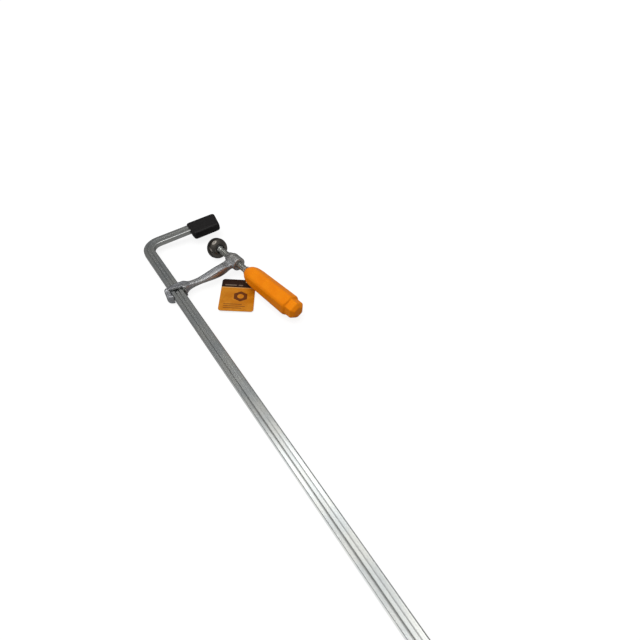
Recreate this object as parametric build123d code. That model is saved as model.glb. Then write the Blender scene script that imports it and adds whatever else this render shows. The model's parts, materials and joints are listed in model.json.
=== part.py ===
"""All-steel bar clamp with a sliding arm that locks by tilting on its rail.

Millimetres, +Z up as the clamp lies on its side. The rail runs along Y, the fixed jaw is at its
+Y end, and both jaws reach out to +X. The origin is on the fixed jaw's pressing face, where the
screw's axis meets it when the clamp is tightened, on the mid-plane of the clamp.
"""
from build123d import *
from math import asin, atan, cos, degrees, radians, sin, tan
import os

# ------------------------------------------------------------------ driving sizes (mm, degrees)
THROAT = 120.0              # rail's inner edge to the screw's axis at the fixed jaw, tightened
OPENING = 800.0             # widest gap between the pressure plate and the fixed jaw
ARM_STATION = 136.0         # fixed jaw's pressing face to the lock pin, as the clamp stands here

RAIL_WIDTH = 22.0
RAIL_THICKNESS = 10.5
RAIL_CORNER = 2.2
GROOVE_WIDTH = 8.0          # mouth of the groove along both wide faces
GROOVE_DEPTH = 1.6
GROOVE_WALL_SLOPE = 45.0
BOW_INNER_RADIUS = 17.5

CAP_LENGTH = 68.0
CAP_FRONT = 20.0            # soft plastic between the pressing face and the steel jaw
CAP_BACK = 3.2
CAP_END = 6.0
CAP_SIDE = 4.2
CAP_END_SLOPE = 10.0
CAP_EDGE_RADIUS = 4.5
CAP_FIT = 0.05
CAP_OVERHANG = 33.0         # screw's axis to the cap's far end

STOP_PIN_DIAMETER = 5.0
STOP_PIN_WALL = 1.0
STOP_PIN_FIT = 0.02
STOP_PIN_PROUD = 4.0        # how far the stop pin stands out of each wide face
STOP_PIN_MARGIN = 12.0      # pin's axis to the rail's end

LOCK_PIN_DIAMETER = 5.0
LOCK_GAP = 0.2              # lock pin or eye to the rail's edge
PIN_FIT = 0.04              # radial, lock pin in its bore
PIN_SINK = 1.0              # the pin's axis lies this deep behind the eye's wall
PIN_RECESS = 0.5            # pin's ends below the eye's faces
ARM_SWING = 8.5             # from square to the rail, tightened, to sliding freely
EYE_SIDE_GAP = 0.7          # rail's wide face to the strap
STRAP_THICKNESS = 4.6
EYE_REACH = 22.5            # lock pin to the eye's jaw-side end
EYE_BACK = 6.2              # lock pin to the eye's handle-side end
EYE_EDGE = 2.0
HEEL_WALL = 5.5             # least wall outside the rail
HEEL_FLARE = 17.0           # slope of the heel's outer face from the screw's direction
HEEL_CORNER = 11.0
HEEL_RUNOUT = 9.0           # rounding where the straps run out into the heel
STRAP_BACK_HEEL = 15.0      # lock pin to the strap's handle-side edge, at the rail's outer edge
STRAP_BACK_ROOT = 5.2       # the same at the lock pin
STRAP_STEP = 1.5            # straps stand this much proud of heel and root
STRAP_FALL = 9.0            # slope of the straps towards the jaw

ROOT_LENGTH = 10.5          # lock pin to where the eye runs out into the arm
ROOT_WALL = 1.5             # steel round the lock pin
WAIST = 21.0                # lock pin to the arm's slimmest place
WAIST_TOP = 14.3            # jaw-side edge at the waist, ahead of the lock pin
WAIST_DEPTH = 14.5
WAIST_RISE = 0.28           # slope of the handle-side edge where it leaves the waist
WAIST_THICKNESS = 9.2
BELLY = 76.0                # lock pin to the arm's deepest place
BELLY_TOP = 11.1
BELLY_DEPTH = 19.6
BELLY_THICKNESS = 12.0
BOSS_RISE = 0.35            # slope of the jaw-side edge where it meets the boss
BOSS_WEB = 15.0             # arm's thickness where it meets the boss
ARM_CORNER = 3.0
BOSS_OFFSET = 5.9           # boss centre ahead of the lock pin
BOSS_DIAMETER = 28.0
BOSS_LENGTH = 36.0
BOSS_SHOULDER = 15.0        # length of the taper on the boss's jaw side
BOSS_COLLAR_DIAMETER = 20.0
BOSS_EDGE = 1.5

SCREW_DIAMETER = 13.0
SCREW_FIT = 0.08            # radial, plain screw in the plain boss bore
BALL_DIAMETER = 16.0
BALL_REACH = 50.5           # boss centre to the ball's centre, as the clamp stands here
NECK_DIAMETER = 8.5
NECK_LENGTH = 3.0
SCREW_CHAMFER = 1.5
HANDLE_GAP = 25.7           # boss to the handle's nose, as the clamp stands here
TANG_DIAMETER = 10.0
TANG_LENGTH = 92.0
TANG_CHAMFER = 1.0

PLATE_DIAMETER = 42.0
PLATE_HEIGHT = 18.0
PLATE_RIM = 4.5
PLATE_FACE_WALL = 3.5       # steel between the ball and the pressing face
PLATE_SWING = 25.0          # how far the plate leans on its ball, each way
PLATE_EDGE = 0.8
COLLAR_DIAMETER = 22.0
RING_THICKNESS = 1.8
BALL_FIT = 0.06
RING_FIT = 0.06
RING_MOUTH = 3.4            # ball's centre to the snap ring's mouth

HANDLE_FLATS = 38.5         # at the handle's far end
HANDLE_CORNERS = 42.0
HANDLE_TAPER = 3.0          # how much slimmer it is at its nose
HANDLE_EDGE_RADIUS = 4.0
HANDLE_LENGTH = 128.5
HANDLE_ROLL = -23.0          # facets' turn on the screw, as the clamp stands here
HANDLE_NOSE_DIAMETER = 15.0
HANDLE_NOSE_LENGTH = 36.0
HANDLE_NOSE_SLOPE = 0.7
HANDLE_END_DIAMETER = 37.0
HANDLE_END_LENGTH = 3.0
NUB_FLATS = 31.0
NUB_LENGTH = 21.0
NUB_CHAMFER = 6.0

TAG_WIDTH = 65.0
TAG_HEIGHT = 90.0
TAG_THICKNESS = 0.6
TAG_CORNER = 6.0
TAG_TURN = -33.0            # card's width from the clamp's X axis
TAG_CENTRE_X = -36.0
TAG_CENTRE_Y = -185.2
TAG_LIFT = 1.9              # card's underside above the surface that the clamp lies on
TAG_HOLE_DIAMETER = 4.0
EYELET_FLANGE = 1.8
EYELET_WALL = 0.4
LOOP_DIAMETER = 1.2
LOOP_FIT = 0.5              # screw to the loop
LOOP_NOSE_GAP = 2.0         # handle's nose to the loop
LOOP_SLANT = 16.0           # loop's lean back towards the card
LOOP_UNDER = 1.1            # loop's centre line below the card
LOOP_BEND = 1.5

# ------------------------------------------------------------------ sizes that follow
rail_inner_x = -THROAT
rail_outer_x = rail_inner_x - RAIL_WIDTH
rail_centre_x = rail_inner_x - RAIL_WIDTH / 2
jaw_inner_y = CAP_FRONT
jaw_centre_y = CAP_FRONT + RAIL_WIDTH / 2
cap_mouth_x = CAP_OVERHANG - CAP_LENGTH
jaw_end_x = CAP_OVERHANG - CAP_END - (jaw_centre_y + RAIL_WIDTH / 2) * tan(radians(CAP_END_SLOPE))

lock_pin_r = LOCK_PIN_DIAMETER / 2
pin_to_rail = lock_pin_r + LOCK_GAP
pin_to_outer_edge = pin_to_rail + RAIL_WIDTH
swing = radians(ARM_SWING)
boss_x = THROAT - pin_to_rail       # in the arm's frame
boss_r = BOSS_DIAMETER / 2
screw_r = SCREW_DIAMETER / 2
ball_r = BALL_DIAMETER / 2
ring_r = ball_r + BALL_FIT + RING_THICKNESS
plate_face_reach = ring_r + RING_FIT + PLATE_FACE_WALL     # ball's centre to the pressing face

channel_half = RAIL_THICKNESS / 2 + EYE_SIDE_GAP
eye_half = channel_half + STRAP_THICKNESS

# The clamp lies on the rail's outer edge and on the pressure plate's rim.
plate_low_z = -(plate_face_reach * sin(radians(PLATE_SWING)) + PLATE_DIAMETER / 2 * cos(radians(PLATE_SWING)))
floor_slope = (-RAIL_THICKNESS / 2 - plate_low_z) / (THROAT + RAIL_WIDTH)
tag_z = -RAIL_THICKNESS / 2 - floor_slope * (TAG_CENTRE_X - rail_outer_x) + TAG_LIFT
tag_place = Pos(TAG_CENTRE_X, TAG_CENTRE_Y, tag_z) * Rot(0, degrees(atan(floor_slope)), 0) * Rot(0, 0, TAG_TURN)

# The arm's own frame: origin on the lock pin, X along the arm, Y along the screw towards the jaw.
arm_place = Pos(rail_inner_x + pin_to_rail, -ARM_STATION, 0) * Rot(0, 0, ARM_SWING)
# The screw's frame: origin at the boss's centre, Z along the screw towards the plate.
boss_place = Pos(boss_x, BOSS_OFFSET, 0) * Rot(-90, 0, 0)
screw_place = arm_place * boss_place
ball_place = screw_place * Pos(0, 0, BALL_REACH)
plate_place = ball_place * Rot(-PLATE_SWING, 0, 0)
handle_place = screw_place * Pos(0, 0, -(BOSS_LENGTH / 2 + HANDLE_GAP))

# The loop hangs from the screw: in its own plane X is across and Y is down towards the card.
loop_place = handle_place * Pos(0, 0, LOOP_NOSE_GAP) * Rot(-LOOP_SLANT, 0, 0)
loop_r = screw_r / cos(radians(LOOP_SLANT)) + LOOP_FIT + LOOP_DIAMETER / 2


def loop_drop(x):
    """How far down the loop's own plane its strand at x meets the card."""
    start = (tag_place.inverse() * loop_place * Pos(x, 0, 0)).position.Z
    after = (tag_place.inverse() * loop_place * Pos(x, 1, 0)).position.Z
    return start / (start - after)


tag_hole = (tag_place.inverse() * loop_place * Pos(-loop_r, loop_drop(-loop_r), 0)).position


def side_plane(y, x=0.0):
    """Plane across the rail at y, with its own x along X."""
    return Plane(origin=(x, y, 0), x_dir=(1, 0, 0), z_dir=(0, 1, 0))


def rail_section(growth=0.0):
    """Flat bar with round corners and a shallow groove with sloping walls in both wide faces."""
    half_thickness = RAIL_THICKNESS / 2
    mouth = GROOVE_WIDTH / 2 - growth
    floor = mouth - GROOVE_DEPTH / tan(radians(GROOVE_WALL_SLOPE))
    depth = half_thickness - GROOVE_DEPTH + growth
    over = half_thickness + growth + GROOVE_DEPTH
    spread = mouth + (over - depth - GROOVE_DEPTH) / tan(radians(GROOVE_WALL_SLOPE))
    groove = Polygon((-spread, over), (-floor, depth), (floor, depth), (spread, over), align=None)
    bar = RectangleRounded(RAIL_WIDTH + 2 * growth, RAIL_THICKNESS + 2 * growth, RAIL_CORNER + growth)
    return bar - groove - mirror(groove, Plane.XZ)


def strap_back(x):
    """The strap's handle-side edge runs slantwise from the heel to the root."""
    slant = (STRAP_BACK_HEEL - STRAP_BACK_ROOT) / pin_to_outer_edge
    return STRAP_BACK_ROOT - slant * x


def stop_pin_y():
    """The open clamp's strap rests against the stop pin, with the arm free."""
    pin_y = -OPENING - BOSS_OFFSET - BALL_REACH - plate_face_reach
    strap_ahead = strap_back(-pin_to_rail - RAIL_WIDTH / 2) * cos(swing) - RAIL_WIDTH / 2 * sin(swing)
    return pin_y + strap_ahead - STOP_PIN_DIAMETER


def make_rail():
    """Cold-drawn grooved bar, bent edgewise at one end into the bow and the fixed jaw."""
    end_y = stop_pin_y() - STOP_PIN_MARGIN
    route = FilletPolyline((rail_centre_x, end_y), (rail_centre_x, jaw_centre_y), (jaw_end_x, jaw_centre_y),
                           radius=BOW_INNER_RADIUS + RAIL_WIDTH / 2)
    rail = sweep(side_plane(end_y, rail_centre_x) * rail_section(), path=route)
    pin_hole = Cylinder(STOP_PIN_DIAMETER / 2 + STOP_PIN_FIT, RAIL_THICKNESS * 2)
    return rail - Pos(rail_centre_x, stop_pin_y(), 0) * pin_hole


def make_stop_pin():
    """Slotted spring pin near the rail's end, which keeps the arm on the rail."""
    radius = STOP_PIN_DIAMETER / 2
    length = RAIL_THICKNESS + 2 * STOP_PIN_PROUD
    tube = Cylinder(radius, length) - Cylinder(radius - STOP_PIN_WALL, length)
    slot = Box(STOP_PIN_DIAMETER, STOP_PIN_WALL, length, align=(Align.MIN, Align.CENTER, Align.CENTER))
    return Pos(rail_centre_x, stop_pin_y(), 0) * (tube - slot)


def make_jaw_cap():
    """Soft moulded cap, pulled over the end of the jaw."""
    back_y = jaw_inner_y + RAIL_WIDTH + CAP_BACK
    slant = back_y * tan(radians(CAP_END_SLOPE))
    outline = Polygon((cap_mouth_x, 0), (CAP_OVERHANG - slant, 0), (CAP_OVERHANG, back_y), (cap_mouth_x, back_y),
                      align=None)
    height = RAIL_THICKNESS + 2 * CAP_SIDE
    cap = extrude(outline, amount=height / 2, both=True)
    cap = fillet(cap.edges(), CAP_EDGE_RADIUS)
    mouth = Plane(origin=(cap_mouth_x, jaw_centre_y, 0), x_dir=(0, 1, 0), z_dir=(1, 0, 0))
    pocket = extrude(mouth * rail_section(CAP_FIT), amount=jaw_end_x - cap_mouth_x + CAP_FIT)
    return cap - pocket


def rail_edge_x(distance, y):
    """Where a rail edge at this distance from the lock pin lies in the arm's frame, sliding freely."""
    return (y * sin(swing) - distance) / cos(swing)


def heel_face_x(y):
    """The heel's outer face flares out towards the handle."""
    least = pin_to_outer_edge + LOCK_GAP + HEEL_WALL
    return -least + (y - EYE_REACH) * tan(radians(HEEL_FLARE))


def channel_plan(low_y, high_y):
    """Plan of the way through the eye: each wall clears the rail at both ends of the swing."""
    outer_high = -pin_to_outer_edge - LOCK_GAP
    outer_low = rail_edge_x(pin_to_outer_edge + LOCK_GAP, -EYE_BACK)
    outer_slope = (outer_high - outer_low) / (EYE_REACH + EYE_BACK)
    inner_high = rail_edge_x(pin_to_rail - LOCK_GAP, EYE_REACH)
    inner_slope = (inner_high + PIN_SINK) / EYE_REACH

    def outer(y):
        return outer_low + outer_slope * (y + EYE_BACK)

    def inner(y):
        return -PIN_SINK + inner_slope * max(y, 0)

    return Polygon((outer(low_y), low_y), (inner(low_y), low_y), (inner(0), 0), (inner(high_y), high_y),
                   (outer(high_y), high_y), align=None)


def window_plan(low_y):
    """Plan of the opening between heel and root, where the strap leaves the rail bare."""
    slot = channel_plan(low_y, EYE_REACH)
    far = 2 * pin_to_outer_edge
    open_side = Polygon((-far, low_y), (far, low_y), (far, strap_back(far)), (-far, strap_back(-far)), align=None)
    return slot & open_side


def make_eye():
    """Heel and straps of the eye round the rail, before it is opened out."""
    plan = Polygon((heel_face_x(EYE_REACH), EYE_REACH), (heel_face_x(-EYE_BACK), -EYE_BACK),
                   (ROOT_WALL, -EYE_BACK), (ROOT_WALL, EYE_REACH), align=None)
    by_x = plan.vertices().sort_by(Axis.X)
    plan = fillet(by_x[0], HEEL_CORNER)
    plan = fillet(plan.vertices().sort_by(Axis.Y)[-2:].sort_by(Axis.X)[0], HEEL_RUNOUT)
    block = extrude(plan, amount=eye_half - STRAP_STEP, both=True)
    block = fillet(block.faces().filter_by(Axis.Z).edges(), EYE_EDGE)

    far = 2 * EYE_REACH
    ridge = Polygon((-far, strap_back(-far)), (far, strap_back(far)), (far, far), (-far, far), align=None)
    strap = extrude(plan & ridge, amount=eye_half, both=True)
    slant = degrees(atan((strap_back(-far) - strap_back(far)) / (2 * far)))
    above = Box(4 * far, 4 * far, 4 * eye_half, align=(Align.CENTER, Align.MIN, Align.MIN))
    above = Pos(0, strap_back(0), eye_half) * Rot(0, 0, -slant) * Rot(-STRAP_FALL, 0, 0) * above
    return block + (strap - above - mirror(above, Plane.XY))


def make_neck():
    """The arm from the eye's root to the boss: a forged plan, thinned from the eye, with round edges."""
    root_x = -PIN_SINK
    end_x = boss_x - boss_r / 2
    fall = (WAIST_TOP - BELLY_TOP) / (BELLY - WAIST)
    waist_low = WAIST_TOP - WAIST_DEPTH
    belly_low = BELLY_TOP - BELLY_DEPTH
    outline = [
        Spline((root_x, EYE_REACH - EYE_EDGE / 2), (ROOT_LENGTH, EYE_REACH - EYE_EDGE), (WAIST, WAIST_TOP),
               tangents=((1, 0), (1, -fall))),
        Line((WAIST, WAIST_TOP), (BELLY, BELLY_TOP)),
        Spline((BELLY, BELLY_TOP), (end_x, BELLY_TOP + BOSS_OFFSET), tangents=((1, -fall), (1, BOSS_RISE))),
        Line((end_x, BELLY_TOP + BOSS_OFFSET), (end_x, belly_low + EYE_EDGE)),
        Spline((end_x, belly_low + EYE_EDGE), (BELLY, belly_low), tangents=((-1, 0), (-1, 0))),
        Spline((BELLY, belly_low), (WAIST, waist_low), tangents=((-1, 0), (-1, WAIST_RISE))),
        Spline((WAIST, waist_low), (lock_pin_r + ROOT_WALL, -EYE_EDGE / 2), (0, -EYE_BACK),
               tangents=((-1, WAIST_RISE), (-0.5, -1))),
        Line((0, -EYE_BACK), (root_x, -EYE_BACK)),
        Line((root_x, -EYE_BACK), (root_x, EYE_REACH - EYE_EDGE / 2)),
    ]
    plan = make_face(outline)
    thick = eye_half - STRAP_STEP
    rim = Spline((root_x, thick), (WAIST, WAIST_THICKNESS / 2), (BELLY, BELLY_THICKNESS / 2), (boss_x, BOSS_WEB / 2),
                 tangents=((1, 0), (1, 0.2)))
    side = make_face([rim, Line(rim @ 1, (boss_x, 0)), Line((boss_x, 0), (root_x, 0)), Line((root_x, 0), rim @ 0)])
    half = extrude(Plane.XZ * side, amount=2 * EYE_REACH, both=True)
    neck = extrude(plan, amount=eye_half, both=True) & (half + mirror(half, Plane.XY))
    along = neck.edges().filter_by(Axis.Z, reverse=True).filter_by_position(Axis.X, ROOT_WALL, boss_x - boss_r)
    return fillet(along, ARM_CORNER)


def make_boss():
    """Round boss for the screw: a full ring on the handle's side, drawn in to a collar on the jaw's."""
    back = -BOSS_LENGTH / 2
    front = BOSS_LENGTH / 2
    collar_r = BOSS_COLLAR_DIAMETER / 2
    outline = [
        Line((0, back), (boss_r - BOSS_EDGE, back)),
        Line((boss_r - BOSS_EDGE, back), (boss_r, back + BOSS_EDGE)),
        Line((boss_r, back + BOSS_EDGE), (boss_r, front - BOSS_SHOULDER)),
        Spline((boss_r, front - BOSS_SHOULDER), (collar_r, front - BOSS_EDGE), tangents=((0, 1), (0, 1))),
        Line((collar_r, front - BOSS_EDGE), (collar_r - BOSS_EDGE, front)),
        Line((collar_r - BOSS_EDGE, front), (0, front)),
        Line((0, front), (0, back)),
    ]
    return revolve(Plane.XZ * make_face(outline), Axis.Z)


def make_sliding_arm():
    """Forged arm: an eye round the rail, a tapering neck and a threaded boss for the screw."""
    arm = make_eye() + make_neck() + boss_place * make_boss()
    reach = 2 * EYE_REACH
    arm -= extrude(channel_plan(-reach, reach), amount=channel_half, both=True)
    arm -= extrude(window_plan(-reach), amount=2 * eye_half, both=True)
    arm -= Cylinder(lock_pin_r + PIN_FIT, 4 * eye_half)
    arm -= boss_place * Cylinder(screw_r + SCREW_FIT, 2 * BOSS_LENGTH)
    return arm_place * arm


def make_lock_pin():
    """Hardened pin across the eye: it bears on the rail's inner edge and the arm tilts on it."""
    return arm_place * Cylinder(lock_pin_r, 2 * (eye_half - STRAP_STEP - PIN_RECESS))


def make_spindle():
    """Screw with a ball at its tip and a tang inside the handle. The screw's thread is left plain."""
    nose = -(BOSS_LENGTH / 2 + HANDLE_GAP)
    tang_end = nose - TANG_LENGTH
    screw_end = BALL_REACH - ball_r * cos(asin(NECK_DIAMETER / BALL_DIAMETER)) - NECK_LENGTH
    tang_r = TANG_DIAMETER / 2
    neck_r = NECK_DIAMETER / 2
    profile = make_face(Polyline(
        (0, tang_end), (tang_r - TANG_CHAMFER, tang_end), (tang_r, tang_end + TANG_CHAMFER), (tang_r, nose),
        (screw_r, nose), (screw_r, screw_end - SCREW_CHAMFER), (screw_r - SCREW_CHAMFER, screw_end),
        (neck_r, screw_end), (neck_r, BALL_REACH), (0, BALL_REACH), (0, tang_end)))
    screw = revolve(Plane.XZ * profile, Axis.Z)
    return screw_place * (screw + Pos(0, 0, BALL_REACH) * Sphere(ball_r))


def make_snap_ring():
    """Black nylon cup round the ball, open towards the screw, which snaps into the plate."""
    inner = ball_r + BALL_FIT
    cup = Sphere(ring_r) - Sphere(inner)
    mouth = Box(4 * ring_r, 4 * ring_r, 4 * ring_r, align=(Align.CENTER, Align.CENTER, Align.MAX))
    return ball_place * (cup - Pos(0, 0, -RING_MOUTH) * mouth)


def make_pressure_plate():
    """Domed steel plate with a socket in its back, which swivels on the screw's ball."""
    face_z = plate_face_reach
    back_z = face_z - PLATE_HEIGHT
    rim_z = face_z - PLATE_RIM
    rim_r = PLATE_DIAMETER / 2
    collar_r = COLLAR_DIAMETER / 2
    outline = [
        Line((0, face_z), (rim_r - PLATE_EDGE, face_z)),
        Line((rim_r - PLATE_EDGE, face_z), (rim_r, face_z - PLATE_EDGE)),
        Line((rim_r, face_z - PLATE_EDGE), (rim_r, rim_z)),
        Spline((rim_r, rim_z), (collar_r, back_z), tangents=((0, -1), (-1, -0.35))),
        Line((collar_r, back_z), (0, back_z)),
        Line((0, back_z), (0, face_z)),
    ]
    body = revolve(Plane.XZ * make_face(outline), Axis.Z)
    return plate_place * (body - Sphere(ring_r + RING_FIT))


def make_handle_grip():
    """Moulded hexagon grip, slimmer towards its round nose, with a hexagon nub at its end."""
    corner_r = HANDLE_CORNERS / 2
    shoulder_r = corner_r - HANDLE_TAPER / 2
    nose_r = HANDLE_NOSE_DIAMETER / 2
    end_r = HANDLE_END_DIAMETER / 2
    outline = [
        Line((0, 0), (nose_r, 0)),
        Spline((nose_r, 0), (shoulder_r, -HANDLE_NOSE_LENGTH), tangents=((1, -HANDLE_NOSE_SLOPE), (0, -1))),
        Line((shoulder_r, -HANDLE_NOSE_LENGTH), (corner_r, -HANDLE_LENGTH + HANDLE_END_LENGTH)),
        Line((corner_r, -HANDLE_LENGTH + HANDLE_END_LENGTH), (end_r, -HANDLE_LENGTH)),
        Line((end_r, -HANDLE_LENGTH), (0, -HANDLE_LENGTH)),
        Line((0, -HANDLE_LENGTH), (0, 0)),
    ]
    turned = revolve(Plane.XZ * make_face(outline), Axis.Z)
    slim = RegularPolygon((HANDLE_FLATS - HANDLE_TAPER) / 2, 6, major_radius=False)
    full = RegularPolygon(HANDLE_FLATS / 2, 6, major_radius=False)
    prism = loft([slim, Pos(0, 0, -HANDLE_LENGTH) * full], ruled=True)
    prism = fillet(prism.edges().filter_by(lambda edge: edge.length > HANDLE_FLATS), HANDLE_EDGE_RADIUS)
    root = HANDLE_END_LENGTH / 2
    nub = extrude(RegularPolygon(NUB_FLATS / 2, 6, major_radius=False), amount=-NUB_LENGTH - root)
    nub = chamfer(nub.faces().sort_by(Axis.Z)[0].edges(), NUB_CHAMFER)
    grip = (turned & prism) + Pos(0, 0, root - HANDLE_LENGTH) * nub
    grip -= Pos(0, 0, -TANG_LENGTH / 2) * Cylinder(TANG_DIAMETER / 2, TANG_LENGTH)
    return handle_place * Rot(0, 0, HANDLE_ROLL) * grip


def make_tag_card():
    """Printed card tag, lying flat beside the handle, with a hole for its loop."""
    card = extrude(RectangleRounded(TAG_WIDTH, TAG_HEIGHT, TAG_CORNER), amount=TAG_THICKNESS)
    hole = Pos(tag_hole.X, tag_hole.Y, 0) * Cylinder(TAG_HOLE_DIAMETER / 2, 4 * TAG_THICKNESS)
    return tag_place * (card - hole)


def make_tag_eyelet():
    """Thin rolled eyelet that lines the card's hole."""
    bore = TAG_HOLE_DIAMETER / 2
    flange = Cylinder(bore + EYELET_FLANGE, EYELET_WALL, align=(Align.CENTER, Align.CENTER, Align.MIN))
    tube = Cylinder(bore, TAG_THICKNESS, align=(Align.CENTER, Align.CENTER, Align.MIN))
    eyelet = Pos(0, 0, TAG_THICKNESS) * flange + tube
    eyelet -= Cylinder(bore - EYELET_WALL, 4 * TAG_THICKNESS)
    return tag_place * Pos(tag_hole.X, tag_hole.Y, 0) * eyelet


def make_tag_loop():
    """Nylon loop round the screw, through the card's eyelet and round the card's edge."""
    low_left = loop_drop(-loop_r) + LOOP_UNDER
    low_right = loop_drop(loop_r) + LOOP_UNDER
    outline = Polygon((-loop_r, -loop_r), (loop_r, -loop_r), (loop_r, low_right), (-loop_r, low_left), align=None)
    by_height = outline.vertices().sort_by(Axis.Y)
    outline = fillet(by_height[:2], loop_r - LOOP_DIAMETER / 8)
    outline = fillet(outline.vertices().sort_by(Axis.Y)[-2:], LOOP_BEND)
    path = outline.faces()[0].outer_wire()
    section = Plane(origin=path @ 0, z_dir=path % 0) * Circle(LOOP_DIAMETER / 2)
    return loop_place * sweep(section, path=path)


NODES = {
    "rail": make_rail,
    "rail_stop_pin": make_stop_pin,
    "jaw_cap": make_jaw_cap,
    "sliding_arm": make_sliding_arm,
    "lock_pin": make_lock_pin,
    "spindle": make_spindle,
    "pad_snap_ring": make_snap_ring,
    "pressure_plate": make_pressure_plate,
    "handle_grip": make_handle_grip,
    "tag_card": make_tag_card,
    "tag_eyelet": make_tag_eyelet,
    "tag_loop": make_tag_loop,
}

os.makedirs("parts", exist_ok=True)
for name, make in NODES.items():
    solid = make()
    export_step(solid, f"parts/{name}.step")
    print(name, round(solid.volume, 1))
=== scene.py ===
import json
import math

import bmesh
import bpy
from mathutils import Matrix, Vector


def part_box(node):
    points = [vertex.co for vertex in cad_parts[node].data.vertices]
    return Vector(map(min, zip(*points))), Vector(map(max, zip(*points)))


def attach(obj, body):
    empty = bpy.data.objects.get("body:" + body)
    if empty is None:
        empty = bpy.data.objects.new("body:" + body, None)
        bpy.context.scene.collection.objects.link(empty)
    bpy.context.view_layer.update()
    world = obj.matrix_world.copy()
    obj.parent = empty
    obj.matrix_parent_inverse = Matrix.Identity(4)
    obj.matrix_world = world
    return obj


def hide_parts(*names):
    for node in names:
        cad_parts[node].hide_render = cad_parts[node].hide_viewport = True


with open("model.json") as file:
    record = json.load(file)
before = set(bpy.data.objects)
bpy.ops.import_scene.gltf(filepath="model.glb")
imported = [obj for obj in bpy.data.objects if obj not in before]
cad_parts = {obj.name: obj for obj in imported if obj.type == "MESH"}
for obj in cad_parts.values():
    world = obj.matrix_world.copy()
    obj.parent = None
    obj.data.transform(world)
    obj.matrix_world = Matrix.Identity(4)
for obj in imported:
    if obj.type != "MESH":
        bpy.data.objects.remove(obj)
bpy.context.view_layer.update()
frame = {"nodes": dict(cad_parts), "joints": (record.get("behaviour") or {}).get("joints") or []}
scene = bpy.context.scene
scene.view_settings.view_transform = "Standard"

# ------------------------------------------------------------------ camera
# It stands over the far end of the rail, 0.6 m up, and looks down along the rail to the
# jaws through a slightly wide lens.
SENSOR_WIDTH = 36.0
FOCAL_LENGTH = 24.75
CAMERA_PLACE = Vector((-0.24312, -0.75481, 0.59119))
CAMERA_AHEAD = Vector((0.37341, 0.53209, -0.75990))
CAMERA_ABOVE = Vector((0.44119, 0.61872, 0.65003))


def stand(name, data):
    """A new object in the scene, at the origin, with this mesh, lamp or camera."""
    thing = bpy.data.objects.new(name, data)
    scene.collection.objects.link(thing)
    return thing


lens = bpy.data.cameras.new("camera")
lens.sensor_width = SENSOR_WIDTH
lens.lens = FOCAL_LENGTH
lens.clip_start = 0.01
camera = stand("camera", lens)
ahead = CAMERA_AHEAD.normalized()
above = (CAMERA_ABOVE - ahead * CAMERA_ABOVE.dot(ahead)).normalized()
turn = Matrix((ahead.cross(above), above, -ahead)).transposed().to_4x4()
camera.matrix_world = Matrix.Translation(CAMERA_PLACE) @ turn
scene.camera = camera


# ------------------------------------------------------------------ rail
# Cold-drawn flat bar with a groove down each wide face, bent edgewise into the bow and
# bright zinc plated. The die leaves fine lines, which follow the bar round the bow, and
# the saw leaves the far end dull.
class Tone:
    """A number or a vector in a node tree. Arithmetic on it adds the Math nodes."""

    def __init__(self, bench, socket):
        self.bench = bench
        self.socket = socket

    def part(self, output):
        """Another output of the same node, by its name or its place."""
        return Tone(self.bench, self.socket.node.outputs[output])

    def __add__(self, other):
        return self.bench.maths("ADD", self, other)

    def __sub__(self, other):
        return self.bench.maths("SUBTRACT", self, other)

    def __rsub__(self, other):
        return self.bench.maths("SUBTRACT", other, self)

    def __mul__(self, other):
        return self.bench.maths("MULTIPLY", self, other)

    def __truediv__(self, other):
        return self.bench.maths("DIVIDE", self, other)

    def __rtruediv__(self, other):
        return self.bench.maths("DIVIDE", other, self)

    def __lt__(self, other):
        return self.bench.maths("LESS_THAN", self, other)

    def __gt__(self, other):
        return self.bench.maths("GREATER_THAN", self, other)

    def __abs__(self):
        return self.bench.maths("ABSOLUTE", self)

    __radd__ = __add__
    __rmul__ = __mul__


class Bench:
    """A node tree while it is being wired."""

    def __init__(self, tree):
        self.tree = tree

    def feed(self, node, sockets):
        """Sets a node's sockets to numbers and colours, or links tones to them."""
        for key, value in sockets.items():
            if isinstance(value, Tone):
                self.tree.links.new(value.socket, node.inputs[key])
            else:
                node.inputs[key].default_value = value

    def add(self, kind, settings=None, sockets=None, output=0):
        """A node of any type, with its settings and its sockets. Gives one output."""
        node = self.tree.nodes.new(kind)
        for name, value in (settings or {}).items():
            if name == "stops":
                ramp = node.color_ramp.elements
                while len(ramp) < len(value):
                    ramp.new(1.0)
                for stop, (place, colour) in zip(ramp, value):
                    stop.position = place
                    stop.color = colour
            else:
                setattr(node, name, value)
        self.feed(node, sockets or {})
        return Tone(self, node.outputs[output])

    def maths(self, operation, *values):
        return self.add("ShaderNodeMath", {"operation": operation}, dict(enumerate(values)))

    def split(self, vector):
        """A vector's three parts."""
        spot = self.add("ShaderNodeSeparateXYZ", {}, {0: vector})
        return [spot.part(axis) for axis in range(3)]

    def join(self, x, y, z):
        """A vector from its three parts."""
        return self.add("ShaderNodeCombineXYZ", {}, {0: x, 1: y, 2: z})


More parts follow.
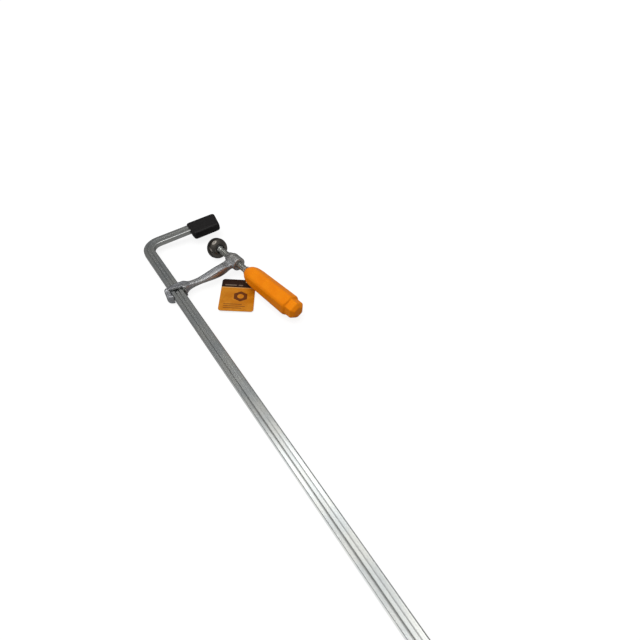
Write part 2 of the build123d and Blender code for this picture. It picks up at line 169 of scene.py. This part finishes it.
class Finish(Bench):
    """A material with one shader, laid on from numbers, colours and tones."""

    def __init__(self, name):
        self.material = bpy.data.materials.new(name)
        self.material.use_nodes = True
        super().__init__(self.material.node_tree)
        self.shader = self.tree.nodes["Principled BSDF"]
        self.place = self.add("ShaderNodeTexCoord", output="Object")

    def lay(self, sockets):
        self.feed(self.shader, sockets)

    def grain(self, vector, scale, detail=2.0, rough=0.5):
        """Noise with this many cells to the metre."""
        return self.add("ShaderNodeTexNoise", {},
                        {"Vector": vector, "Scale": scale, "Detail": detail, "Roughness": rough})

    def ease(self, tone, low, high, start=0.0, end=1.0):
        """Goes smoothly from start to end while the tone goes from low to high."""
        return self.add("ShaderNodeMapRange", {"interpolation_type": "SMOOTHSTEP"},
                        {"Value": tone, "From Min": low, "From Max": high,
                         "To Min": start, "To Max": end})

    def mix(self, amount, first, second):
        """The first colour where amount is 0, the second where it is 1."""
        # A colour mix has its factor, A and B at 0, 6 and 7, and its result at 2.
        return self.add("ShaderNodeMix", {"data_type": "RGBA"},
                        {0: amount, 6: first, 7: second}, output=2)

    def bump(self, height, depth, normal=None):
        """A normal for a surface that rises by depth, in metres, where height is 1."""
        sockets = {"Height": height, "Distance": depth, "Strength": 1.0}
        if normal:
            sockets["Normal"] = normal
        return self.add("ShaderNodeBump", {}, sockets)


def paint(red, green, blue):
    """A colour as it looks, from 0 to 255, turned into what the shader takes."""
    return tuple(((part / 255 + 0.055) / 1.055) ** 2.4 if part > 10 else part / 3295
                 for part in (red, green, blue)) + (1.0,)


def dress(node, finish):
    """Gives a piece that keeps its CAD shape its material."""
    piece = frame["nodes"][node]
    piece.data.materials.clear()
    piece.data.materials.append(finish.material)


BAR_WIDTH = 0.022
BEND_RADIUS = 0.0285  # to the middle of the bar
GROOVE_HALF = 0.0041
FACE_HEIGHT = 0.0051  # what lies lower than this is inside a groove
CORNER_ACROSS = (0.0093, 0.0108)
CORNER_UP = (0.0030, 0.0047)
SAW_SKIN = 0.0002
SHADE_STRIP_INNER = (0.0014, 0.0022)  # the painted shade strip's two edges in the groove, and its start
SHADE_STRIP_OUTER = (0.0058, 0.0050)
SHADE_STRIP_RUN = (-0.34, -0.48)
DIE_LINES = 520  # to the metre of width
DIE_RUN = 1.5  # changes of a line to the metre of length
ZINC_COOL = paint(196, 200, 200)
ZINC_WARM = paint(205, 206, 202)
LINE_GREY = paint(170, 170, 164)
RECESS_SHADE_GREY = paint(150, 151, 148)
GROOVE_SHADE_GREY = paint(148, 149, 147)
CORNER_HIGHLIGHT = paint(226, 228, 228)
NICK_GREY = paint(150, 150, 146)
SAWN_GREY = paint(120, 118, 114)

rail_low, rail_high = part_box("rail")
bend_x = rail_low.x + BAR_WIDTH / 2 + BEND_RADIUS
bend_y = rail_high.y - BAR_WIDTH / 2 - BEND_RADIUS

drawn = Finish("drawn_zinc_steel")
x, y, z = drawn.split(drawn.place)
beside = drawn.maths("MINIMUM", x - bend_x, 0.0)
beyond = drawn.maths("MAXIMUM", y - bend_y, 0.0)
across = drawn.maths("SQRT", beside * beside + beyond * beyond) - BEND_RADIUS
lines = drawn.join(across * DIE_LINES, (x - y) * DIE_RUN, z * DIE_LINES)
streak = drawn.grain(lines, scale=1.0, detail=3.0, rough=0.6)
cloud = drawn.grain(drawn.place, scale=22.0, detail=3.0, rough=0.55)
nick = drawn.ease(drawn.grain(drawn.place, scale=420.0), 0.70, 0.78)
in_groove = (abs(across) < GROOVE_HALF) * (abs(z) < FACE_HEIGHT)
corner = drawn.ease(abs(across), *CORNER_ACROSS) * drawn.ease(abs(z), *CORNER_UP)
sawn = y < rail_low.y + SAW_SKIN
# One side of the upper groove is painted darker along the far half of the bar: painted shade of the
# groove's wall.
groove_shade = drawn.ease(across, *SHADE_STRIP_INNER) * drawn.ease(across, *SHADE_STRIP_OUTER)
groove_shade = groove_shade * drawn.ease(y, *SHADE_STRIP_RUN)
tint = drawn.mix(drawn.ease(cloud, 0.35, 0.65), ZINC_COOL, ZINC_WARM)
tint = drawn.mix(drawn.ease(streak, 0.50, 0.66) * 0.25, tint, LINE_GREY)
# The grooves are painted a little darker: painted shade in the recess.
tint = drawn.mix(in_groove * 0.12, tint, RECESS_SHADE_GREY)
tint = drawn.mix(groove_shade * (z > 0.0) * 0.85, tint, GROOVE_SHADE_GREY)
# The bar's rounded corners are painted lighter: a painted highlight.
tint = drawn.mix(corner * 0.6, tint, CORNER_HIGHLIGHT)
tint = drawn.mix(nick * 0.5, tint, NICK_GREY)
tint = drawn.mix(sawn * 0.5, tint, SAWN_GREY)
rough = 0.10 + streak * 0.13 + cloud * 0.06 + in_groove * 0.05 - corner * 0.05 + sawn * 0.2
drawn.lay({"Base Color": tint, "Metallic": 1.0, "Roughness": rough,
           "Normal": drawn.bump(streak + nick * -0.3, depth=0.000012)})
dress("rail", drawn)

# ------------------------------------------------------------------ stop pin
# Slotted spring pin of dark tempered steel, driven through the bar near its far end. It
# keeps the arm from coming off.
TEMPER_BROWN = paint(92, 88, 82)
TEMPER_GREY = paint(122, 119, 112)

spring = Finish("spring_steel")
oil = spring.grain(spring.place, scale=900.0, detail=3.0, rough=0.6)
spring.lay({"Base Color": spring.mix(oil, TEMPER_BROWN, TEMPER_GREY), "Metallic": 1.0,
            "Roughness": 0.28 + oil * 0.2, "Normal": spring.bump(oil, depth=0.00002)})
dress("rail_stop_pin", spring)

# ------------------------------------------------------------------ jaw cap
# Soft black vinyl cap, dip moulded with round corners and pushed over the jaw, so that
# the clamp won't mark the work.
CAP_VOXEL = 0.0009
CAP_PASSES = 100
VINYL_BLACK = paint(20, 18, 18)
VINYL_DUST = paint(44, 42, 41)
MERGE_DISTANCE = 0.000002

vinyl = Finish("black_vinyl")
pores = vinyl.grain(vinyl.place, scale=2600.0, rough=0.6)
sag = vinyl.grain(vinyl.place, scale=60.0)
dust = vinyl.ease(vinyl.grain(vinyl.place, scale=240.0, detail=4.0, rough=0.7), 0.56, 0.72)
vinyl.lay({"Base Color": vinyl.mix(dust * 0.25, VINYL_BLACK, VINYL_DUST),
           "Roughness": 0.38 + pores * 0.12 + dust * 0.12, "Specular IOR Level": 0.3,
           "Normal": vinyl.bump(pores, depth=0.00003, normal=vinyl.bump(sag, depth=0.0003))})


def relax(piece, passes):
    """Adds the modifier that rounds a skin by smoothing it this many times."""
    ease = piece.modifiers.new("ease", "SMOOTH")
    ease.factor = 0.5
    ease.iterations = passes
    return ease


def settle(piece):
    """A plain mesh of what a piece's modifiers make. The piece itself is taken away."""
    ready = piece.evaluated_get(bpy.context.evaluated_depsgraph_get())
    mesh = bpy.data.meshes.new_from_object(ready)
    bpy.data.objects.remove(piece)
    return mesh


def soften(node, voxel, passes):
    """A copy of a CAD piece with the round corners that a mould or a die gives it."""
    source = frame["nodes"][node].data.copy()
    work = bmesh.new()
    work.from_mesh(source)
    bmesh.ops.remove_doubles(work, verts=work.verts, dist=MERGE_DISTANCE)
    work.to_mesh(source)
    work.free()
    blank = stand("blank", source)
    skin = blank.modifiers.new("skin", "REMESH")
    skin.mode = "VOXEL"
    skin.voxel_size = voxel
    relax(blank, passes)
    mesh = settle(blank)
    mesh.shade_smooth()
    return mesh


def seat(name, mesh, finish, body, node):
    """Stands a finished piece in for its CAD node."""
    piece = stand(name, mesh)
    mesh.materials.clear()
    mesh.materials.append(finish.material)
    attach(piece, body)
    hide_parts(node)


cap = soften("jaw_cap", CAP_VOXEL, CAP_PASSES)
seat("jaw_cap_vinyl", cap, vinyl, "rail", "jaw_cap")

# ------------------------------------------------------------------ lock pin
# Hardened steel roll, ground bright, in a bore across the eye. The arm tilts on it, and
# it bites on the rail's edge.
GROUND_GREY = paint(150, 150, 146)
GROUND_SHINE = paint(182, 182, 178)

ground = Finish("ground_steel")
wheel = ground.grain(ground.place, scale=1500.0)
ground.lay({"Base Color": ground.mix(wheel, GROUND_GREY, GROUND_SHINE), "Metallic": 1.0,
            "Roughness": 0.2 + wheel * 0.15, "Normal": ground.bump(wheel, depth=0.00001)})
dress("lock_pin", ground)

# ------------------------------------------------------------------ sliding arm
# Drop-forged steel, trimmed along its middle, tumbled smooth and plated. The forging
# skin keeps soft waves and a fine orange peel, and the neck is full and round.
FORGING_VOXEL = 0.0008
FORGING_PASSES = 10
NECK_START = -0.106  # where the neck leaves the eye, and where it meets the boss
NECK_END = -0.018
NECK_FADE = 0.014
NECK_SWELL = 0.50
NECK_PASSES = 80
SEAM_WANDER = 0.0008
SEAM_EDGE = (0.0010, 0.0004)
PLATING_COOL = paint(191, 193, 197)
PLATING_WARM = paint(201, 199, 195)
SEAM_GREY = paint(150, 147, 140)

forged = Finish("forged_plated_steel")
height = forged.split(forged.place)[2]
skin = forged.grain(forged.place, scale=75.0, detail=3.0)
peel = forged.grain(forged.place, scale=900.0)
stain = forged.grain(forged.place, scale=30.0, detail=4.0, rough=0.6)
seam = forged.ease(abs(height + skin * SEAM_WANDER - SEAM_WANDER / 2), *SEAM_EDGE)
tint = forged.mix(forged.ease(stain, 0.38, 0.66), PLATING_COOL, PLATING_WARM)
tint = forged.mix(seam * 0.5, tint, SEAM_GREY)
waves = forged.bump(skin + seam * 0.15, depth=0.0005)
forged.lay({"Base Color": tint, "Metallic": 1.0,
            "Roughness": 0.36 + skin * 0.12 + peel * 0.08 + seam * 0.1,
            "Normal": forged.bump(peel, depth=0.00003, normal=waves)})


def fade(distance):
    """Goes smoothly from 0 to 1 over the first NECK_FADE of a distance."""
    part = min(max(distance / NECK_FADE, 0), 1)
    return part * part * (3 - 2 * part)


arm = soften("sliding_arm", FORGING_VOXEL, FORGING_PASSES)
forging = stand("forging", arm)
neck = forging.vertex_groups.new(name="neck")
for vertex in arm.vertices:
    share = fade(vertex.co.x - NECK_START) * fade(NECK_END - vertex.co.x)
    neck.add([vertex.index], share, "REPLACE")
    vertex.co.z *= 1 + NECK_SWELL * share
relax(forging, NECK_PASSES).vertex_group = "neck"
arm = settle(forging)
seat("sliding_arm_forging", arm, forged, "sliding_arm", "sliding_arm")

# ------------------------------------------------------------------ spindle
# Trapezoidal screw, rolled from bright steel, with a turned neck and ball at its tip and
# a plain tang that is moulded into the handle. The thread's roots are darker.
THREAD_PITCH = 0.004
THREAD_DEPTH = 0.0014
THREAD_CREST = 0.38  # the flank runs from crest to root over this part of half a turn
THREAD_ROOT = 0.62
THREAD_RUN_OUT = 0.002
ROWS_PER_TURN = 14
WHOLE_TURNS = 100.0  # keeps the count of turns above nought
SCREW_RADIUS = 0.0065
SCREW_CHAMFER = 0.0012
SCREW_SIDES = 64
SCREW_OVERLAP = 0.004  # how far neck and tang reach into the screw
NECK_RADIUS = 0.00425
NECK_LENGTH = 0.003
BALL_RADIUS = 0.008
BALL_RINGS = 20
TANG_RADIUS = 0.005
TANG_CHAMFER = 0.001
TANG_SIDES = 32
SCREW_COOL = paint(200, 202, 196)
SCREW_WARM = paint(216, 216, 210)
THREAD_ROOT_GREY = paint(84, 82, 68)

# Here Z runs along the screw towards the plate, from the ball's centre.
feed = next(joint for joint in frame["joints"] if joint["name"] == "spindle_spin")
screw_axis = Vector(feed["axis"]).normalized()
screw_side = Vector((screw_axis.y, -screw_axis.x, 0))
ball_centre = Vector(feed["pos_m"])
screw_turn = Matrix((screw_side, screw_axis.cross(screw_side), screw_axis)).transposed().to_4x4()
screw_place = Matrix.Translation(ball_centre) @ screw_turn


def along_screw(node):
    """Where the corners of a CAD piece lie along the screw."""
    corners = frame["nodes"][node].data.vertices
    return [(screw_place.inverted() @ corner.co).z for corner in corners]


ball_waist = math.asin(NECK_RADIUS / BALL_RADIUS)
tang_end = min(along_screw("spindle"))
screw_start = max(along_screw("handle_grip"))
screw_end = -BALL_RADIUS * math.cos(ball_waist) - NECK_LENGTH


class Tree(Bench):
    """A geometry tree with named inputs for its sizes."""

    def __init__(self, name, sizes):
        super().__init__(bpy.data.node_groups.new(name, "GeometryNodeTree"))
        face = self.tree.interface
        for size, kind in sizes.items():
            face.new_socket(name=size, in_out="INPUT", socket_type=kind)
        face.new_socket(name="Geometry", in_out="OUTPUT", socket_type="NodeSocketGeometry")
        self.given = self.add("NodeGroupInput")

    def size(self, name):
        return self.given.part(name)

    def make(self, values):
        """The tree's result as a plain mesh."""
        blank = stand("blank", bpy.data.meshes.new("blank"))
        nodes = blank.modifiers.new("nodes", "NODES")
        nodes.node_group = self.tree
        for item in self.tree.interface.items_tree:
            if item.in_out == "INPUT":
                nodes[item.identifier] = values[item.name]
        return settle(blank)


def lathe(work, outline, sides):
    """Turns an outline of (radius, height) points, from pole to pole, into a closed skin."""
    rings = []
    for radius, height in outline:
        angles = [side * math.tau / sides for side in range(sides)] if radius else [0.0]
        rings.append([work.verts.new((radius * math.cos(angle), radius * math.sin(angle), height))
                      for angle in angles])
    for low, high in zip(rings, rings[1:]):
        for side in range(sides):
            after = (side + 1) % sides
            corners = [low[side % len(low)], low[after % len(low)],
                       high[after % len(high)], high[side % len(high)]]
            face = work.faces.new(list(dict.fromkeys(corners)))
            face.smooth = True


def cast(name, work):
    """A mesh from the work in hand."""
    mesh = bpy.data.meshes.new(name)
    work.to_mesh(mesh)
    work.free()
    return mesh


rolled = Finish("rolled_screw_steel")
root = rolled.add("ShaderNodeAttribute", {"attribute_name": "root"}, output="Fac")
film = rolled.grain(rolled.place, scale=500.0, detail=3.0, rough=0.6)
fine = rolled.grain(rolled.place, scale=2200.0)
tint = rolled.mix(film, SCREW_COOL, SCREW_WARM)
# Darker in the thread's roots.
tint = rolled.mix(root * (0.55 + film * 0.3), tint, THREAD_ROOT_GREY)
rolled.lay({"Base Color": tint, "Metallic": 1.0, "Roughness": 0.27 + fine * 0.12 + root * 0.1,
            "Normal": rolled.bump(fine, depth=0.00001)})

thread = Tree("screw_thread", {"Radius": "NodeSocketFloat", "Depth": "NodeSocketFloat",
                               "Pitch": "NodeSocketFloat", "Length": "NodeSocketFloat",
                               "Run Out": "NodeSocketFloat", "Chamfer": "NodeSocketFloat",
                               "Rows": "NodeSocketInt", "Material": "NodeSocketMaterial"})
blank = thread.add("GeometryNodeMeshCylinder", {"fill_type": "TRIANGLE_FAN"},
                   {"Vertices": SCREW_SIDES, "Side Segments": thread.size("Rows"),
                    "Fill Segments": 1, "Radius": thread.size("Radius"),
                    "Depth": thread.size("Length")})
x, y, z = thread.split(thread.add("GeometryNodeInputPosition"))
turns = z / thread.size("Pitch") - thread.maths("ARCTAN2", y, x) / math.tau + WHOLE_TURNS
flank = abs(thread.maths("FRACT", turns) * 2 - 1)
valley = thread.add("ShaderNodeMapRange", {},
                    {"Value": flank, "From Min": THREAD_CREST, "From Max": THREAD_ROOT})
end_gap = thread.size("Length") / 2 - abs(z)
valley = valley * thread.add("ShaderNodeMapRange", {},
                             {"Value": end_gap, "From Max": thread.size("Run Out")})
bevel = thread.maths("MAXIMUM", thread.size("Chamfer") - end_gap, 0.0)
shrink = 1 - (valley * thread.size("Depth") + bevel) / thread.size("Radius")
marked = thread.add("GeometryNodeStoreNamedAttribute", {"data_type": "FLOAT", "domain": "POINT"},
                    {"Geometry": blank, "Name": "root", "Value": valley})
cut = thread.add("GeometryNodeSetPosition", {},
                 {"Geometry": marked, "Position": thread.join(x * shrink, y * shrink, z)})
smooth = thread.add("GeometryNodeSetShadeSmooth", {}, {"Geometry": cut, "Shade Smooth": True})
real = thread.add("GeometryNodeRealizeInstances", {}, {"Geometry": smooth})
faced = thread.add("GeometryNodeSetMaterial", {},
                   {"Geometry": real, "Material": thread.size("Material")})
thread.feed(thread.tree.nodes.new("NodeGroupOutput"), {0: faced})

screw_length = screw_end - screw_start
shank = thread.make({"Radius": SCREW_RADIUS, "Depth": THREAD_DEPTH, "Pitch": THREAD_PITCH,
                     "Length": screw_length, "Run Out": THREAD_RUN_OUT,
                     "Chamfer": SCREW_CHAMFER,
                     "Rows": round(screw_length / THREAD_PITCH * ROWS_PER_TURN),
                     "Material": rolled.material})
shank.transform(Matrix.Translation((0, 0, (screw_end + screw_start) / 2)))
work = bmesh.new()
work.from_mesh(shank)
latitudes = [ball_waist + ring * (math.pi - ball_waist) / BALL_RINGS for ring in range(BALL_RINGS)]
ball = [(BALL_RADIUS * math.sin(angle), -BALL_RADIUS * math.cos(angle)) for angle in latitudes]
neck_foot = screw_end - SCREW_OVERLAP
lathe(work, [(0, neck_foot), (NECK_RADIUS, neck_foot), *ball, (0, BALL_RADIUS)], SCREW_SIDES)
tang_top = screw_start + SCREW_OVERLAP
lathe(work, [(0, tang_end), (TANG_RADIUS - TANG_CHAMFER, tang_end),
             (TANG_RADIUS, tang_end + TANG_CHAMFER), (TANG_RADIUS, tang_top),
             (0, tang_top)], TANG_SIDES)
bmesh.ops.recalc_face_normals(work, faces=work.faces)
spindle = cast("spindle_screw", work)
spindle.transform(screw_place)
seat("spindle_screw", spindle, rolled, "spindle", "spindle")

# ------------------------------------------------------------------ snap ring
# Black nylon ring, injection moulded. It snaps into the plate's back and holds the ball
# in its socket.
NYLON_BLACK = paint(20, 20, 20)
NYLON_GREY = paint(30, 29, 28)

nylon = Finish("black_nylon")
matt = nylon.grain(nylon.place, scale=1400.0)
nylon.lay({"Base Color": nylon.mix(matt, NYLON_BLACK, NYLON_GREY),
           "Roughness": 0.32 + matt * 0.15, "Normal": nylon.bump(matt, depth=0.00002)})
dress("pad_snap_ring", nylon)

# ------------------------------------------------------------------ pressure plate
# Domed swivel plate, turned from steel, blackened and oiled, which leans on the ball.
# The tool leaves fine rings about its axis, and use wears its rim bare.
PLATE_LEAN = math.radians(25)
TOOL_RINGS = 3000  # to the metre
DOME_EDGE = (0.0208, 0.0192)
DOME_WANDER = 0.0015
RIM_EDGE = (0.0202, 0.0209)
BLACKING_BROWN = paint(66, 62, 56)
BLACKING_GREY = paint(84, 79, 71)
DOME_GREY = paint(124, 119, 112)
RIM_BARE = paint(128, 124, 118)

tilt = next(joint for joint in frame["joints"] if joint["name"] == "plate_tilt")
face_axis = Matrix.Rotation(-PLATE_LEAN, 3, Vector(tilt["axis"])) @ screw_axis
plate_turn = face_axis.to_track_quat("Z", "Y").to_euler()
blacked = Finish("blackened_steel")
# Here Z is the plate's own axis, from the ball's centre.
x, y, z = blacked.split(blacked.add("ShaderNodeMapping", {"vector_type": "TEXTURE"},
                                    {"Vector": blacked.place, "Location": ball_centre,
                                     "Rotation": plate_turn}))
radius = blacked.maths("SQRT", x * x + y * y)
rings = blacked.grain(blacked.join(radius * TOOL_RINGS, z * TOOL_RINGS, 0.0), scale=1.0)
worn = blacked.grain(blacked.place, scale=160.0, detail=4.0, rough=0.6)
rim = blacked.ease(radius, *RIM_EDGE)
tint = blacked.mix(blacked.ease(worn, 0.45, 0.7), BLACKING_BROWN, BLACKING_GREY)
tint = blacked.mix(blacked.ease(radius + worn * DOME_WANDER, *DOME_EDGE), tint, DOME_GREY)
tint = blacked.mix(rim * blacked.ease(worn, 0.3, 0.6) * 0.3, tint, RIM_BARE)
blacked.lay({"Base Color": tint, "Metallic": 1.0, "Roughness": 0.10 + rings * 0.08 + worn * 0.05,
             "Normal": blacked.bump(rings, depth=0.00001)})
dress("pressure_plate", blacked)

# ------------------------------------------------------------------ handle
# Hard orange plastic, injection moulded round the tang as a slim hexagon with a round
# nose, and with a hexagon nub at its end for a spanner.
GRIP_VOXEL = 0.001
GRIP_PASSES = 9
ORANGE_DEEP = paint(238, 130, 4)
ORANGE_LIGHT = paint(243, 138, 8)
ORANGE_SCUFFED = paint(222, 130, 30)

moulded = Finish("orange_plastic")
spark = moulded.grain(moulded.place, scale=3000.0, rough=0.6)
flow = moulded.grain(moulded.place, scale=35.0, detail=3.0)
scuff = moulded.ease(moulded.grain(moulded.place, scale=190.0, detail=5.0, rough=0.75), 0.60, 0.74)
tint = moulded.mix(moulded.ease(flow, 0.35, 0.65), ORANGE_DEEP, ORANGE_LIGHT)
tint = moulded.mix(scuff * 0.2, tint, ORANGE_SCUFFED)
moulded.lay({"Base Color": tint, "Roughness": 0.36 + spark * 0.1 + scuff * 0.15,
             "Specular IOR Level": 0.12,
             "Normal": moulded.bump(spark, depth=0.00003, normal=moulded.bump(flow, depth=0.0004))})
grip = soften("handle_grip", GRIP_VOXEL, GRIP_PASSES)
seat("handle_moulding", grip, moulded, "spindle", "handle_grip")

# ------------------------------------------------------------------ tag card
# Card with round corners, printed in ochre with a dark heading band, a plain hexagon nut
# as the sign for hardware, and bars in place of words, under a glossy film.
TAG_CENTRE = Vector((-0.0360, -0.1852, -0.0178720))
TAG_FALL = math.radians(7.801)
TAG_TURN = math.radians(-33.0)
TAG_THICKNESS = 0.0006
TAG_CORE = 0.00026  # half of what its edge shows, between the two printed films
# Bars, by their left and right edges and their low and high ones, from the card's centre.
HEADING = (-0.040, 0.040, 0.0215, 0.050)
HEADING_LINE = (-0.040, 0.040, 0.0195, 0.0215)
HEADING_MARKS = ((-0.026, -0.004, 0.0262, 0.0292), (0.000, 0.008, 0.0262, 0.0292))
FOOT_MARKS = ((-0.024, 0.010, -0.0273, -0.0255), (-0.024, 0.016, -0.0325, -0.0307),
              (-0.024, 0.010, -0.0377, -0.0359))
NUT_CENTRE = (0.006, -0.004)
NUT_HALF = 0.0125
NUT_BORE = 0.0062
OCHRE_DEEP = paint(190, 114, 14)
OCHRE_LIGHT = paint(203, 128, 26)
HEADING_BROWN = paint(48, 30, 22)
HEADING_CREAM = paint(222, 168, 100)
HEADING_PALE = paint(120, 104, 90)
NUT_BROWN = paint(104, 52, 14)
FOOT_BROWN = paint(126, 74, 24)
CARD_EDGE = paint(196, 176, 140)

printed = Finish("printed_card")
# Here the card lies flat, from its centre: wide and tall over it, thick through it.
tag_turn = (Matrix.Rotation(TAG_FALL, 3, "Y") @ Matrix.Rotation(TAG_TURN, 3, "Z")).to_euler()
wide, tall, thick = printed.split(printed.add(
    "ShaderNodeMapping", {"vector_type": "TEXTURE"},
    {"Vector": printed.place, "Location": TAG_CENTRE, "Rotation": tag_turn}))
fibre = printed.grain(printed.place, scale=1800.0, detail=3.0, rough=0.6)
blotch = printed.grain(printed.place, scale=70.0, detail=3.0)


def bar(left, right, low, high):
    """A printed bar, from its edges on the card."""
    inside = abs(wide - (left + right) / 2) < (right - left) / 2
    return inside * (abs(tall - (low + high) / 2) < (high - low) / 2)


tint = printed.mix(printed.ease(blotch, 0.35, 0.65), OCHRE_DEEP, OCHRE_LIGHT)
tint = printed.mix(bar(*HEADING_LINE), tint, HEADING_CREAM)
tint = printed.mix(bar(*HEADING), tint, HEADING_BROWN)
for mark in HEADING_MARKS:
    tint = printed.mix(bar(*mark), tint, HEADING_PALE)
aside = abs(wide - NUT_CENTRE[0])
above = abs(tall - NUT_CENTRE[1])
flats = printed.maths("MAXIMUM", aside, aside * 0.5 + above * math.sin(math.radians(60)))
nut = (flats < NUT_HALF) * (aside * aside + above * above > NUT_BORE ** 2)
tint = printed.mix(nut, tint, NUT_BROWN)
for mark in FOOT_MARKS:
    tint = printed.mix(bar(*mark), tint, FOOT_BROWN)
edge = printed.ease(abs(thick - TAG_THICKNESS / 2), TAG_CORE, TAG_THICKNESS / 2, 1.0, 0.0)
tint = printed.mix(edge, tint, CARD_EDGE)
buckle = printed.bump(blotch, depth=0.0006)
printed.lay({"Base Color": tint, "Roughness": 0.26 + fibre * 0.08, "Specular IOR Level": 0.25,
             "Normal": printed.bump(fibre, depth=0.00001, normal=buckle)})
dress("tag_card", printed)

# ------------------------------------------------------------------ tag eyelet
# Thin brass eyelet, pressed through the card's hole and rolled over on both sides, a
# little tarnished.
BRASS_BRIGHT = paint(196, 158, 84)
BRASS_BROWN = paint(160, 124, 62)

brass = Finish("rolled_brass")
tarnish = brass.grain(brass.place, scale=700.0, detail=3.0)
brass.lay({"Base Color": brass.mix(tarnish, BRASS_BRIGHT, BRASS_BROWN), "Metallic": 1.0,
           "Roughness": 0.22 + tarnish * 0.2, "Normal": brass.bump(tarnish, depth=0.00001)})
dress("tag_eyelet", brass)

# ------------------------------------------------------------------ tag loop
# Clear nylon line, drawn, led through the eyelet and round the screw ahead of the
# handle's nose, and welded into a loop.
LINE_CLEAR = paint(214, 214, 208)
LINE_CLOUDY = paint(196, 196, 190)

strand = Finish("clear_nylon")
haze = strand.grain(strand.place, scale=900.0)
strand.lay({"Base Color": strand.mix(haze, LINE_CLEAR, LINE_CLOUDY),
            "Roughness": 0.2 + haze * 0.15, "Transmission Weight": 0.35,
            "Normal": strand.bump(haze, depth=0.00002)})
dress("tag_loop", strand)

# ------------------------------------------------------------------ floor
# Plain white floor, matt, which keeps the clamp's soft shadow. The clamp lies on it on
# the arm's heel, the plate's rim and the rail's far end.
FLOOR_SIZE = 8.0
FLOOR_GAP = 0.0002
FLOOR_TONE = 0.22
FLOOR_GLOW = 0.85
JAW_SIDE_GLOW = 0.06  # how bright the floor beside the jaws is where it is mirrored
GLOW_RUN = (-0.22, -0.56)
ROUGHLY_UP = Vector((0.10, 0.008, 1.0))  # off the floor, which the clamp leans over


def grey(level):
    """A plain grey, from 0 to 1, as bright as that."""
    return (level, level, level, 1.0)


rests = [min((corner.co for corner in frame["nodes"][node].data.vertices), key=ROUGHLY_UP.dot).copy()
         for node in ("sliding_arm", "pressure_plate", "rail")]
upward = (rests[1] - rests[0]).cross(rests[2] - rests[0]).normalized()
upward = upward if upward.z > 0 else -upward
floor_turn = upward.to_track_quat("Z", "Y").to_matrix().to_4x4()
work = bmesh.new()
bmesh.ops.create_grid(work, x_segments=1, y_segments=1, size=FLOOR_SIZE)
floor_mesh = cast("floor", work)
floor_mesh.transform(Matrix.Translation(rests[0] - upward * FLOOR_GAP) @ floor_turn)
floor = stand("floor", floor_mesh)

white = Finish("white_floor")
ray = white.add("ShaderNodeLightPath")
along = white.split(white.place)[1]
mirrored = white.mix(white.ease(along, *GLOW_RUN), grey(JAW_SIDE_GLOW), grey(FLOOR_GLOW))
shade = white.mix(ray.part("Is Glossy Ray"), grey(0.0), mirrored)
plain = white.maths("MAXIMUM", ray.part("Is Camera Ray"), ray.part("Is Transmission Ray"))
shade = white.mix(plain, shade, grey(FLOOR_GLOW))
white.lay({"Base Color": grey(FLOOR_TONE), "Roughness": 1.0, "Specular IOR Level": 0.0,
           "Emission Color": shade, "Emission Strength": 1.0})
white.material.cycles.emission_sampling = "NONE"
floor_mesh.materials.append(white.material)

# ------------------------------------------------------------------ light
# One wide soft lamp overhead in an even white room, and round it walls and a ceiling that
# show only where they are mirrored: dark walls, and bright panels over them.
ROOM_FILL = 0.42
LAMP_SPREAD = math.radians(75)
LAMP_ENERGY = 1.85
LAMP_SIDE = Vector((-0.22, 0.10, 1.0))
CEILING_RADIUS = 7.0
PANEL = 3.2
LOW_PANEL = 5  # how much brighter the low panel at one side is than the wall round it
LOW_PANEL_SIDE = (-0.72, -0.92)
LOW_PANEL_HIGH = (0.45, 0.25)
# The brightness at each angle, in degrees, above the foot of the walls.
BANDS = ((0, 0.16), (30, 0.19), (38, 0.235), (45, 0.30), (52, 0.33), (58, 0.36), (62, 0.40),
         (67, 0.55), (70.5, 3.2), (74, 3.0), (77.5, 0.85), (80, 0.6), (84, 0.8), (87, 2.4),
         (90, 2.4))

sky = bpy.data.worlds.new("room")
scene.world = sky
sky.use_nodes = True
room = Bench(sky.node_tree)
ray = room.add("ShaderNodeLightPath")
seen = room.maths("MAXIMUM", ray.part("Is Camera Ray"), ray.part("Is Glossy Ray"))
seen = room.maths("MAXIMUM", seen, ray.part("Is Transmission Ray"))
room.feed(sky.node_tree.nodes["Background"],
          {"Color": grey(1.0), "Strength": ROOM_FILL + seen * (1 - ROOM_FILL)})

lamp = bpy.data.lights.new("overhead", "SUN")
lamp.angle = LAMP_SPREAD
lamp.energy = LAMP_ENERGY
overhead = stand("overhead", lamp)
overhead.matrix_world = LAMP_SIDE.to_track_quat("Z", "Y").to_matrix().to_4x4()
overhead.visible_glossy = False

work = bmesh.new()
bmesh.ops.create_uvsphere(work, u_segments=48, v_segments=32, radius=CEILING_RADIUS)
for face in work.faces:
    face.smooth = True
dome_mesh = cast("ceiling", work)
dome = stand("ceiling", dome_mesh)
tent = Finish("studio_ceiling")
side, _, high = tent.split(tent.add("ShaderNodeVectorMath", {"operation": "NORMALIZE"},
                                    {0: tent.place}))
low_panel = tent.ease(side, *LOW_PANEL_SIDE) * tent.ease(abs(high), *LOW_PANEL_HIGH)
stops = [(math.sin(math.radians(rise)), grey(level / PANEL)) for rise, level in BANDS]
glow = tent.add("ShaderNodeValToRGB", {"stops": stops}, {0: high})
glow = tent.add("ShaderNodeVectorMath", {"operation": "SCALE"},
                {0: glow, "Scale": 1 + low_panel * LOW_PANEL})
tent.lay({"Base Color": grey(0.0), "Specular IOR Level": 0.0, "Emission Color": glow,
          "Emission Strength": PANEL})
tent.material.cycles.emission_sampling = "NONE"
dome_mesh.materials.append(tent.material)
dome.visible_camera = False
dome.visible_diffuse = False
dome.visible_transmission = False
dome.visible_shadow = False
